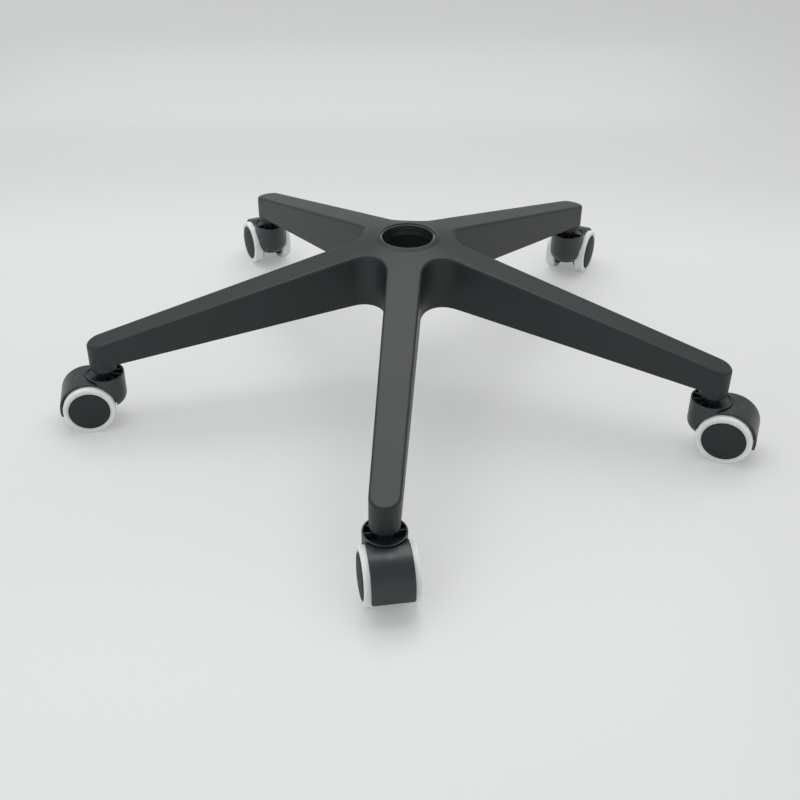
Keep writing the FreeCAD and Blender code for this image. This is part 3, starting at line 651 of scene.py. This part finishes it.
def surface(name: str, points: Array, faces: Array) -> bpy.types.Object:
    """Make a smooth piece, closed at its poles and with its faces outwards.

    Args:
        name: the piece's name.
        points: an array of places.
        faces: an array of four points' numbers to a face.

    Returns:
        The piece, in the scene.
    """
    mesh = bpy.data.meshes.new(name)
    mesh.from_pydata(points.tolist(), [], faces.tolist())
    work = bmesh.new()
    work.from_mesh(mesh)
    bmesh.ops.remove_doubles(work, verts=work.verts, dist=MERGE_GAP)
    loose = [edge for edge in work.edges if not edge.link_faces]
    bmesh.ops.delete(work, geom=loose, context="EDGES")
    bmesh.ops.recalc_face_normals(work, faces=work.faces)
    work.to_mesh(mesh)
    work.free()
    mesh.polygons.foreach_set("use_smooth", np.ones(len(mesh.polygons), bool))
    piece = bpy.data.objects.new(name, mesh)
    bpy.context.scene.collection.objects.link(piece)
    return piece


def joint_of(body: str) -> dict:
    """Return the frame's joint that carries a body."""
    return next(joint for joint in frame["joints"] if joint["child"] == body)


@dataclass(frozen=True)
class Wheel:
    """One wheel of a caster: its soft tyre and its domed cap as smooth turned surfaces.

    Distances along the axle are from the caster's middle outwards.

    Attributes:
        number: the caster's number.
        side: which wheel it is.
        rim_radius: the tyre's bore.
        tyre_start: where the tyre begins along the axle.
        face: where the tyre ends and the cap's edge begins.
        inner_shoulder: rounding of the tread's inner edge.
        outer_shoulder: rounding of the tread's outer edge.
        seam_height: height of the mould's seam, half of it above the tread's radius.
        seam_width: width of the seam's crest.
        cap_radius: the cap's radius.
        cap_edge: height of the cap's straight edge.
        cap_dome: how far the dome stands out of it.
        cap_edge_radius: rounding between edge and dome.
        cap_wall: the cap's thickness.
        plug_radius: outer radius of the ring that plugs the rim.
        plug_wall: that ring's thickness.
        plug_length: how deep it reaches into the wheel.
        dome_steps: rings of facets over the dome.
        segments: facets around.
    """

    number: int
    side: Side
    rim_radius: float = 20.2 * MM
    tyre_start: float = 12.5 * MM
    face: float = 23.0 * MM
    inner_shoulder: float = 1.5 * MM
    outer_shoulder: float = 1.2 * MM
    seam_height: float = 0.12 * MM
    seam_width: float = 0.5 * MM
    cap_radius: float = 19.3 * MM
    cap_edge: float = 0.6 * MM
    cap_dome: float = 1.7 * MM
    cap_edge_radius: float = 0.45 * MM
    cap_wall: float = 1.4 * MM
    plug_radius: float = 18.0 * MM
    plug_wall: float = 1.5 * MM
    plug_length: float = 2.6 * MM
    dome_steps: int = 32
    segments: int = 128

    @property
    def body(self) -> str:
        """The wheel's body in the frame."""
        return f"caster_{self.number}_wheel_{self.side.value}"

    def node_name(self, kind: str) -> str:
        """Return the frame's name of one of the wheel's pieces."""
        return f"caster_{self.number}_{kind}_{self.side.value}"

    @property
    def radius(self) -> float:
        """The tread's radius, from the frame."""
        low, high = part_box(self.node_name("tyre"))
        return (high.z - low.z) / 2

    def axle(self) -> tuple[Vector, Vector]:
        """Find the axle from the frame.

        Returns:
            The caster's middle on the axle, and the direction outwards.
        """
        low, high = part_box(f"caster_{self.number}_axle")
        joint = joint_of(self.body)
        centre = (low + high) / 2
        out = Vector(joint["axis"])
        if (Vector(joint["pos_m"]) - centre).dot(out) < 0:
            out = -out
        return centre, out

    def tyre(self) -> bpy.types.Object:
        """Turn the tyre, with a fine mould seam round the middle of its tread.

        Returns:
            The tyre.
        """
        middle = (self.tyre_start + self.face) / 2
        half = self.seam_width / 2
        crest = self.radius + self.seam_height * 0.5
        flank = self.radius - self.seam_height * 0.5
        corners = [(self.tyre_start, self.rim_radius, 0.0), (self.face, self.rim_radius, 0.0)]
        corners += [(self.face, self.radius, self.outer_shoulder)]
        corners += [(middle + 2 * half, flank, half)]
        corners += [(middle, crest, half / 2), (middle - 2 * half, flank, half)]
        corners += [(self.tyre_start, self.radius, self.inner_shoulder)]
        centre, out = self.axle()
        name = f"tyre_{self.number}_{self.side.value}"
        return turned(name, rounded(corners), centre, out, self.segments)

    def cap(self) -> bpy.types.Object:
        """Turn the cap: a shallow dome with a softened edge, and the ring that plugs the rim.

        A dome of height h over a disc of radius c is part of a ball of radius
        (c ** 2 + h ** 2) / (2 * h).

        Returns:
            The cap.
        """
        edge_face = self.face + self.cap_edge
        crown = edge_face + self.cap_dome
        ball = (self.cap_radius ** 2 + self.cap_dome ** 2) / (2 * self.cap_dome)
        out = np.linspace(self.cap_radius, 0.0, self.dome_steps + 1)[1:]
        dome = np.stack([crown - ball + np.sqrt(ball ** 2 - out ** 2), out], 1)
        inner = self.plug_radius - self.plug_wall
        plug_end = self.face - self.plug_length
        corners = [(crown - self.cap_wall, 0.0, 0.0), (edge_face - self.cap_wall, inner, 0.0)]
        corners += [(plug_end, inner, 0.0), (plug_end, self.plug_radius, 0.0)]
        corners += [(self.face, self.plug_radius, 0.0), (self.face, self.cap_radius, 0.0)]
        corners += [(edge_face, self.cap_radius, self.cap_edge_radius)]
        corners += [(dome[0, 0], dome[0, 1], 0.0)]
        outline = np.concatenate([rounded(corners), dome[1:]])
        centre, line = self.axle()
        name = f"cap_{self.number}_{self.side.value}"
        return turned(name, outline, centre, line, self.segments)

    def build(self) -> None:
        """Make the wheel's pieces and stand them in for the frame's."""
        made = (("tyre", TYRE_URETHANE, self.tyre()), ("cap", CAP_NYLON, self.cap()))
        for kind, finish, piece in made:
            finish.paint(piece)
            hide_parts(self.node_name(kind))
            "tyre" if kind == "tyre" else "cap_nylon"
            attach(piece, self.body)
        LOG.info("%s built", self.body)


@dataclass
class Caster:
    """One twin wheel caster of the frame.

    Attributes:
        number: its number in the frame's names.
        gate_radius: the cover's crown, from the axle.
        gate_turn: degrees from the top of the cover to the mould's gate.
    """

    number: int
    gate_radius: float = 28.6 * MM
    gate_turn: float = 21.0

    def node(self, kind: str) -> bpy.types.Object:
        """Return one of the caster's frame pieces."""
        return frame["nodes"][f"caster_{self.number}_{kind}"]

    def gate(self) -> Vector:
        """Find where the mould's gate was, a turn from the top along the cover's crown.

        Returns:
            The gate's place.
        """
        low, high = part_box(f"caster_{self.number}_axle")
        axle = (low + high) / 2
        tail = axle - Vector(joint_of(f"caster_{self.number}_fork")["pos_m"])
        tail.z = 0
        turn = math.radians(self.gate_turn)
        out = math.sin(turn) * tail.normalized() + math.cos(turn) * Vector((0, 0, 1))
        return axle + self.gate_radius * out

    def dress(self) -> None:
        """Give every piece of the caster its finish."""
        name = f"hood_skin_{self.number}"
        replace(HOOD_NYLON, name=name, gate=tuple(self.gate())).paint(self.node("hood"))
        BRIGHT_STEEL.paint(self.node("stem"))
        BRIGHT_STEEL.paint(self.node("axle"))
        SPRING_STEEL.paint(self.node("grip_ring"))
        for side in Side:
            CORE_NYLON.paint(self.node(f"core_{side.value}"))
            Wheel(self.number, side).build()
        LOG.info("caster %d dressed", self.number)


@dataclass
class Star:
    """The moulded star and the steel ring in its hub."""

    def dress(self) -> None:
        """Give the star and the ring their finishes."""
        STAR_NYLON.paint(frame["nodes"]["star_base"])
        BRIGHT_STEEL.paint(frame["nodes"]["hub_ring"])
        LOG.info("star dressed")


@dataclass(frozen=True)
class Lamp:
    """A rectangular soft lamp.

    Attributes:
        name: its name.
        place: where it hangs.
        size: its two sides.
        power: its power in watts.
        colour: the colour of its light.
    """

    name: str
    place: Place
    size: tuple[float, float]
    power: float
    colour: Rgb

    def hang(self, aim: Vector) -> None:
        """Hang the lamp so that it faces a point.

        Args:
            aim: the point.
        """
        data = bpy.data.lights.new(self.name, "AREA")
        data.color = self.colour
        data.shape = "RECTANGLE"
        data.size, data.size_y = self.size
        data.energy = self.power
        lamp = bpy.data.objects.new(self.name, data)
        lamp.location = self.place
        lamp.rotation_euler = (aim - Vector(self.place)).to_track_quat("-Z", "Y").to_euler()
        bpy.context.scene.collection.objects.link(lamp)


LAMPS = (
    Lamp("overhead", (-0.05, 0.33, 1.25), (1.9, 1.2), 16.0, (0.985, 1.0, 0.99)),
    Lamp("front_fill", (-1.1, -1.0, 0.8), (1.4, 1.0), 3.0, (0.7, 0.88, 1.0)),
)


@dataclass
class Studio:
    """The pale sheet, the lamps and the camera.

    Attributes:
        floor_height: the floor, where the tyres stand.
        bend_distance: how far behind the hub the sheet starts to rise.
        bend_radius: radius of the sheet's bend.
        bend_steps: facets of the bend.
        sheet_reach: how far the sheet runs to the front and to each side.
        wall_height: how high it rises behind.
        zenith_light: strength of the room's light from above.
        horizon_light: its strength from the sides.
        backdrop: its strength as the camera sees it.
        room_colour: its colour, with full opacity.
        heading: degrees that the camera looks to the right of +Y.
        pitch: degrees that it looks down.
        roll: degrees that it leans.
        distance: how far in front of the hub it stands.
        camera_height: how high above the floor.
        lens: its focal length in millimetres.
        shift_across: sideways shift of the picture, as a share of its width.
        shift_up: upward shift of the picture, as a share of its width.
        near: the nearest that it sees.
        far: the farthest that it sees.
    """

    floor_height: float
    bend_distance: float = 0.50
    bend_radius: float = 0.3
    bend_steps: int = 12
    sheet_reach: float = 6.0
    wall_height: float = 0.6
    zenith_light: float = 0.38
    horizon_light: float = 0.86
    backdrop: float = 0.68
    room_colour: tuple[float, float, float, float] = (0.985, 1.0, 0.995, 1.0)
    heading: float = -3.862
    pitch: float = 33.244
    roll: float = -1.184
    distance: float = 1.003
    camera_height: float = 0.6642
    lens: float = 51.14
    shift_across: float = 0.0735
    shift_up: float = -0.0337
    near: float = 0.05
    far: float = 50.0

    def camera(self) -> None:
        """Stand the camera where the photo was taken from."""
        yaw, pitch, roll = (math.radians(a) for a in (self.heading, self.pitch, self.roll))
        level = math.cos(pitch)
        ahead = Vector((math.sin(yaw) * level, math.cos(yaw) * level, -math.sin(pitch)))
        right = Vector((math.cos(yaw), -math.sin(yaw), 0))
        up = right.cross(ahead)
        across = math.cos(roll) * right + math.sin(roll) * up
        above = math.cos(roll) * up - math.sin(roll) * right
        data = bpy.data.cameras.new("camera")
        data.lens = self.lens
        data.shift_x = self.shift_across
        data.shift_y = self.shift_up
        data.clip_start = self.near
        data.clip_end = self.far
        eye = bpy.data.objects.new("camera", data)
        turn = Matrix((across, above, -ahead)).transposed().to_4x4()
        stand = (0, -self.distance, self.floor_height + self.camera_height)
        eye.matrix_world = Matrix.Translation(stand) @ turn
        bpy.context.scene.collection.objects.link(eye)
        bpy.context.scene.camera = eye

    def sheet(self) -> None:
        """Roll out the seamless sheet: floor, bend and wall as one swept profile.

        The bend's points lie radius * sin(t) further back and radius * (1 - cos(t)) up, with t
        from 0 to a quarter turn, and the profile runs straight across the camera's heading.
        """
        turn = np.linspace(0, math.pi / 2, self.bend_steps + 1)
        bend_y = self.bend_distance + self.bend_radius * np.sin(turn)
        bend_z = self.bend_radius * (1 - np.cos(turn))
        along = np.concatenate([[-self.sheet_reach], bend_y, [bend_y[-1]]])
        high = np.concatenate([[0.0], bend_z, [self.wall_height]])
        side = np.array([-self.sheet_reach, self.sheet_reach])
        x = np.repeat(side, along.size)
        y = np.tile(along, 2)
        z = np.tile(high, 2) + self.floor_height
        yaw = math.radians(self.heading)
        east = x * math.cos(yaw) + y * math.sin(yaw)
        north = -x * math.sin(yaw) + y * math.cos(yaw)
        points = np.stack([east, north, z], 1)
        low = np.arange(along.size - 1)
        faces = np.stack([low, low + along.size, low + along.size + 1, low + 1], 1)
        mesh = bpy.data.meshes.new("studio_sheet")
        mesh.from_pydata(points.tolist(), [], faces.tolist())
        mesh.polygons.foreach_set("use_smooth", np.ones(len(faces), bool))
        sheet = bpy.data.objects.new("studio_sheet", mesh)
        bpy.context.scene.collection.objects.link(sheet)
        STUDIO_SHEET.paint(sheet)

    def world(self) -> None:
        """Fill the room with even pale light, which the camera sees as a pale wall."""
        world = bpy.data.worlds.new("room")
        bpy.context.scene.world = world
        world.use_nodes = True
        graph = Graph(world.node_tree)
        seen = graph.add("ShaderNodeLightPath", {}, {}, "Is Camera Ray")
        way = graph.add("ShaderNodeTexCoord", {}, {}, "Generated")
        low = 1.0 - graph.add("ShaderNodeSeparateXYZ", {}, {0: way}, "Z")
        light = self.zenith_light + low * low * (self.horizon_light - self.zenith_light)
        strength = light * (1.0 - seen) + seen * self.backdrop
        sockets = {"Color": self.room_colour, "Strength": strength}
        graph.finish(graph.add("ShaderNodeBackground", {}, sockets), "ShaderNodeOutputWorld")

    def build(self) -> None:
        """Set up the sheet, the light and the camera."""
        self.sheet()
        self.world()
        for lamp in LAMPS:
            lamp.hang(Vector((0, 0, self.floor_height)))
        self.camera()
        bpy.context.scene.view_settings.view_transform = "Standard"
        LOG.info("studio set")


def main() -> None:
    """Dress the star and its casters and set up the studio."""
    logging.basicConfig(level=logging.INFO)
    Star().dress()
    for number in CASTERS:
        Caster(number).dress()
    Studio(floor_height=CAD_BOX[0].z).build()


if __name__ == "__main__":
    main()
